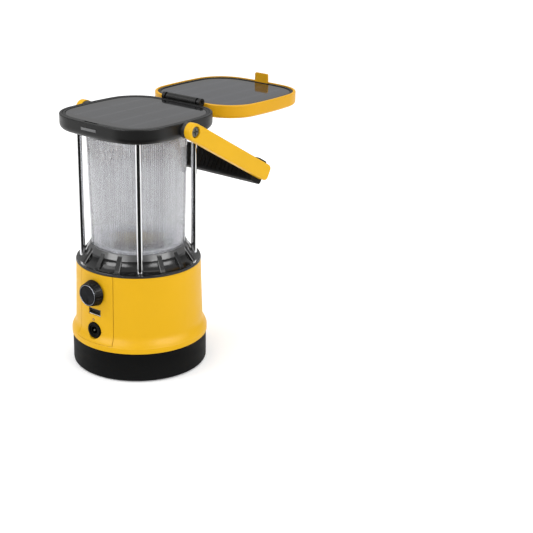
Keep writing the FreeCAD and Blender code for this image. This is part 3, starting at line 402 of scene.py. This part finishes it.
# ---------------------------------------------------------------------------
# materials on the CAD nodes
# ---------------------------------------------------------------------------
USE = {
    'foot_pad': 'rubber', 'base_cup': 'black_base', 'base_screws': 'steel', 'main_housing': 'yellow', 'control_panel': 'yellow',
    'control_knob': 'knob', 'knob_cap': 'knob_face', 'pot_shaft': 'steel', 'pot_body': 'parts', 'pot_nut': 'steel',
    'usb_shell': 'usb', 'usb_tongue': 'knob', 'charge_led': 'led', 'dc_jack_body': 'jack', 'dc_jack_pin': 'screw',
    'control_board': 'board', 'board_components': 'parts', 'battery_tray': 'black_satin', 'battery_cells': 'cell',
    'cell_straps': 'nickel', 'battery_clamp': 'black_satin', 'trim_ring': 'trim', 'fin_collar': 'collar', 'collar_screws': 'steel',
    'guard_rods': 'chrome', 'rod_screws': 'steel', 'light_tube': 'tube', 'tube_gasket_lower': 'seal', 'tube_gasket_upper': 'seal',
    'lamp_cup': 'cup', 'base_reflector': 'reflector', 'head_panel_frame': 'frame', 'lid_panel_frame': 'frame', 'lamp_heatsink': 'sink', 'lamp_board': 'lamp_pcb', 'lamp_chips': 'phosphor', 'top_plate': 'black_satin',
    'nameplate_blank': 'plate', 'top_reflector': 'white', 'head_panel_backing': 'backing', 'head_solar_cells': 'cells_bare',
    'head_panel_cover': 'solar_head', 'hinge_leaf_head': 'black_satin', 'hinge_leaf_lid': 'black_satin', 'hinge_pin': 'steel',
    'hinge_screws_head': 'steel', 'hinge_screws_lid': 'steel', 'lid_shell': 'yellow_lid_painted_shade', 'lid_inlay': 'inlay',
    'lid_panel_backing': 'backing', 'lid_solar_cells': 'cells_bare', 'lid_panel_cover': 'solar_lid', 'handle_arm_right': 'yellow',
    'handle_arm_left': 'yellow', 'grip_inner': 'grip', 'grip_outer': 'grip', 'grip_screws': 'steel', 'pivot_screws': 'screw',
    'pivot_washers': 'nylon'}
for n, o in N.items():
    mat = M[USE[n]]
    if not o.material_slots:
        o.data.materials.append(mat)
    for s in o.material_slots:
        s.material = mat


# ---------------------------------------------------------------------------
# mesh helpers
# ---------------------------------------------------------------------------
def ring_mesh(name, rows, n, closed=True, smooth=40.0):
    """rows: list of arrays giving (x, y, z) for n angles; the rows close on themselves."""
    P = np.concatenate(rows)
    k = len(rows)
    faces = []
    for i in range(k if closed else k - 1):
        a, b = i * n, ((i + 1) % k) * n
        for j in range(n):
            j2 = (j + 1) % n
            faces.append((a + j, a + j2, b + j2, b + j))
    me = bpy.data.meshes.new(name)
    me.from_pydata([tuple(p) for p in P], [], faces)
    me.validate()
    bm = bmesh.new()
    bm.from_mesh(me)
    bmesh.ops.recalc_face_normals(bm, faces=bm.faces)
    bm.to_mesh(me)
    bm.free()
    o = bpy.data.objects.new(name, me)
    scene.collection.objects.link(o)
    for p in me.polygons:
        p.use_smooth = True
    me.set_sharp_from_angle(angle=math.radians(smooth))
    return o


# --- ribbed light tube -------------------------------------------------------
lo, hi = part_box('light_tube')
z0, z1 = lo.z, hi.z
FLUTES, SEG = 144, 8
n = FLUTES * SEG
th = np.linspace(0, 2 * np.pi, n, endpoint=False)


def tube_r(z):
    return 0.0413 + (0.0434 - 0.0413) * (z - 0.109) / (0.2123 - 0.109)


def circ(r, z):
    r = r * np.ones(n)
    return np.stack([r * np.cos(th), r * np.sin(th), z * np.ones(n)], 1)


def fluted(z, amount):
    # ribs moulded into the wall's inner side, never inside the nominal bore
    wave = (0.5 - 0.5 * np.cos(FLUTES * th)) ** 0.8
    return circ(tube_r(z) - 0.0020 + 0.00042 * amount * wave, z)


rows = [circ(0.0417, z0), circ(0.0419, z0 + 0.0002), circ(0.0419, 0.1117), circ(0.04184, 0.11195), circ(0.0417, 0.11208),
        circ(0.04152, 0.11212), circ(0.04141, 0.1123)]
for z in np.linspace(0.1130, z1 - 0.0003, 9):
    shallow = 0.00004 * (0.5 + 0.5 * np.cos(FLUTES * th)) * (1.0 if 0.114 < z < 0.210 else 0.0)
    rows.append(circ(tube_r(z) - shallow, z))
rows += [circ(tube_r(z1) - 0.0002, z1), circ(tube_r(z1) - 0.0018, z1), circ(tube_r(z1) - 0.0020, z1 - 0.0002)]
zz = [0.2116, 0.2086, 0.2071, 0.2061] + list(np.linspace(0.2046, 0.1175, 8)) + [0.1160, 0.1150, 0.1140, 0.1100]
for z in zz:
    a = min(1.0, max(0.0, (0.2086 - z) / 0.0025)) * min(1.0, max(0.0, (z - 0.1140) / 0.0020))
    rows.append(fluted(z, a))
rows += [circ(tube_r(z0) - 0.0020, z0 + 0.0002), circ(tube_r(z0) - 0.0018, z0)]
tube = ring_mesh('light_tube_ribbed', rows, n, smooth=60.0)
tube.data.materials.append(M['tube'])
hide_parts('light_tube')
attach(tube, 'lantern')

# --- dished reflector on the tube's floor, with an upturned rim ------------------
m = 128
tk = np.linspace(0, 2 * np.pi, m, endpoint=False)
dish = [(37.9, 106.0), (37.9, 106.2), (37.9, 112.9), (37.75, 113.2), (37.45, 113.3), (37.15, 113.2), (37.0, 112.9), (36.6, 110.2), (36.0, 108.9),
        (35.0, 107.9), (33.6, 107.35), (31.8, 107.2), (31.0, 107.2), (30.6, 107.5), (30.0, 107.6), (29.4, 107.5), (29.0, 107.2),
        (23.2, 107.2), (22.9, 107.1), (22.8, 106.9), (22.8, 106.0)]
refl = ring_mesh('base_reflector_dish', [np.stack([R / 1000 * np.cos(tk), R / 1000 * np.sin(tk), Z / 1000 * np.ones(m)], 1) for R, Z in dish],
                 m, smooth=35.0)
refl.data.materials.append(M['reflector'])
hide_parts('base_reflector')
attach(refl, 'lantern')

# --- bright rim round the knob's face ---------------------------------------
m = 96
tk = np.linspace(0, 2 * np.pi, m, endpoint=False)
klo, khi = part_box('control_knob')
yf = klo.y


def kring(r, y):
    return np.stack([r * np.cos(tk), y * np.ones(m), 0.0771 + r * np.sin(tk)], 1)


rim = ring_mesh('knob_rim', [kring(0.00875, yf + 0.0004), kring(0.00875, yf - 0.00006), kring(0.00883, yf - 0.00016),
                             kring(0.00907, yf - 0.00016), kring(0.00915, yf - 0.00006), kring(0.00915, yf + 0.0004)], m, smooth=50.0)
rim.data.materials.append(M['ring'])
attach(rim, 'knob')

# ---------------------------------------------------------------------------
# floor, light and camera
# ---------------------------------------------------------------------------
bm = bmesh.new()
bmesh.ops.create_circle(bm, cap_ends=True, cap_tris=False, segments=96, radius=12.0)
me = bpy.data.meshes.new('floor')
bm.to_mesh(me)
bm.free()
floor = bpy.data.objects.new('floor', me)
scene.collection.objects.link(floor)
g = G('pale_floor')
b = g.bsdf(Base_Color=g.mix(g.noise(3.0, 2.0), (0.93, 0.93, 0.93), (0.95, 0.95, 0.95)), Roughness=0.9)
b.inputs['Specular IOR Level'].default_value = 0.1
b.inputs['Emission Color'].default_value = (1.0, 1.0, 1.0, 1)
b.inputs['Emission Strength'].default_value = 0.2
me.materials.append(g.done(b))

F, D, AZ, EL, DYAW, DPITCH, ROLL = 1208.0925, 1.0778187, 0.76925040, 0.334525951, -0.112210617, 0.0209655816, 0.0221612182


def basis(az, el, roll):
    back = Vector((math.sin(az) * math.cos(el), -math.cos(az) * math.cos(el), math.sin(el)))
    right = Vector((math.cos(az), math.sin(az), 0.0))
    up = back.cross(right)
    c, s = math.cos(roll), math.sin(roll)
    return c * right + s * up, -s * right + c * up, back


_, _, b0 = basis(AZ, EL, 0.0)
pos = Vector((0, 0, 0.110)) + D * b0
r_, u_, b_ = basis(AZ + DYAW, EL + DPITCH, ROLL)
cam_data = bpy.data.cameras.new('camera')
cam = bpy.data.objects.new('camera', cam_data)
scene.collection.objects.link(cam)
cam.matrix_world = Matrix(((r_.x, u_.x, b_.x, pos.x), (r_.y, u_.y, b_.y, pos.y), (r_.z, u_.z, b_.z, pos.z), (0, 0, 0, 1)))
cam_data.sensor_width = 36.0
cam_data.lens = F / 533.0 * 36.0
cam_data.clip_start, cam_data.clip_end = 0.01, 100.0
scene.camera = cam

world = bpy.data.worlds.new('studio')
scene.world = world
world.use_nodes = True
bg = world.node_tree.nodes.get('Background') or world.node_tree.nodes.new('ShaderNodeBackground')
bg.inputs[0].default_value = (1.0, 1.0, 1.0, 1)
wt = world.node_tree
wtc = wt.nodes.new('ShaderNodeTexCoord')
wsep = wt.nodes.new('ShaderNodeSeparateXYZ')
wmap = wt.nodes.new('ShaderNodeMapRange')
wmap.interpolation_type = 'SMOOTHSTEP'
for i, v in enumerate((0.13, 0.62, 0.46, 1.02)):
    wmap.inputs[i + 1].default_value = v
wt.links.new(wtc.outputs['Generated'], wsep.inputs[0])
wt.links.new(wsep.outputs[2], wmap.inputs[0])
# reflections see the soft gradient; the backdrop itself stays as pale as the floor
wlp = wt.nodes.new('ShaderNodeLightPath')
wmx = wt.nodes.new('ShaderNodeMix')
wmx.inputs[3].default_value = 1.0
wt.links.new(wlp.outputs['Is Camera Ray'], wmx.inputs[0])
wt.links.new(wmap.outputs[0], wmx.inputs[2])
wt.links.new(wmx.outputs[0], bg.inputs[1])


def area(name, loc, target, size, power, sy=None):
    d = bpy.data.lights.new(name, 'AREA')
    d.shape = 'RECTANGLE'
    d.size, d.size_y = size, sy or size
    d.energy = power
    o = bpy.data.objects.new(name, d)
    scene.collection.objects.link(o)
    o.location = loc
    o.rotation_mode = 'QUATERNION'
    o.rotation_quaternion = (Vector(loc) - Vector(target)).to_track_quat('Z', 'Y')
    return o


area('key', (-0.9, -1.1, 1.5), (0, 0, 0.1), 0.9, 9.0)
area('fill', (1.5, -0.2, 1.0), (0, 0, 0.1), 0.8, 5.0)
area('top', (0.1, 0.3, 1.8), (0, 0, 0.1), 0.9, 6.0)


def flag(name, r0, r1, a0, a1, z):
    """A dark studio card lying in front of the object; it shows in reflections only."""
    bm = bmesh.new()
    k = 24
    vin = [bm.verts.new((r0 * math.sin(a), -r0 * math.cos(a), z)) for a in np.linspace(a0, a1, k)]
    vout = [bm.verts.new((r1 * math.sin(a), -r1 * math.cos(a), z)) for a in np.linspace(a0, a1, k)]
    for i in range(k - 1):
        bm.faces.new((vin[i], vout[i], vout[i + 1], vin[i + 1]))
    me = bpy.data.meshes.new(name)
    bm.to_mesh(me)
    bm.free()
    o = bpy.data.objects.new(name, me)
    scene.collection.objects.link(o)
    g = G(name)
    d = g.bsdf(Base_Color=(0.01, 0.01, 0.01, 1), Roughness=1.0)
    d.inputs['Specular IOR Level'].default_value = 0.0
    me.materials.append(g.done(d))
    o.visible_camera = o.visible_diffuse = o.visible_shadow = o.visible_transmission = o.visible_volume_scatter = False
    return o


flag('front_card', 0.085, 1.6, AZ - math.radians(61), AZ + math.radians(61), 0.0015)


def softbox(name, rel, elev, dist, w, h, strength):
    """A bright studio panel that shows only as a highlight."""
    a = AZ + math.radians(rel)
    e = math.radians(elev)
    c = Vector((dist * math.sin(a) * math.cos(e), -dist * math.cos(a) * math.cos(e), 0.1 + dist * math.sin(e)))
    back = (c - Vector((0, 0, 0.1))).normalized()
    right = Vector((math.cos(a), math.sin(a), 0.0))
    up = back.cross(right)
    me = bpy.data.meshes.new(name)
    me.from_pydata([tuple(c + sx * w / 2 * right + sy * h / 2 * up) for sx, sy in ((-1, -1), (1, -1), (1, 1), (-1, 1))], [], [(0, 1, 2, 3)])
    o = bpy.data.objects.new(name, me)
    scene.collection.objects.link(o)
    g = G(name)
    em = g.n('ShaderNodeEmission')
    em.inputs[0].default_value = (1.0, 1.0, 1.0, 1)
    em.inputs[1].default_value = strength
    me.materials.append(g.done(em))
    o.visible_camera = o.visible_diffuse = o.visible_shadow = o.visible_transmission = o.visible_volume_scatter = False
    return o


softbox('softbox_left', -50.0, 26.0, 1.5, 1.25, 0.62, 12.0)
softbox('softbox_right', 50.0, 26.0, 1.5, 1.25, 0.62, 12.0)
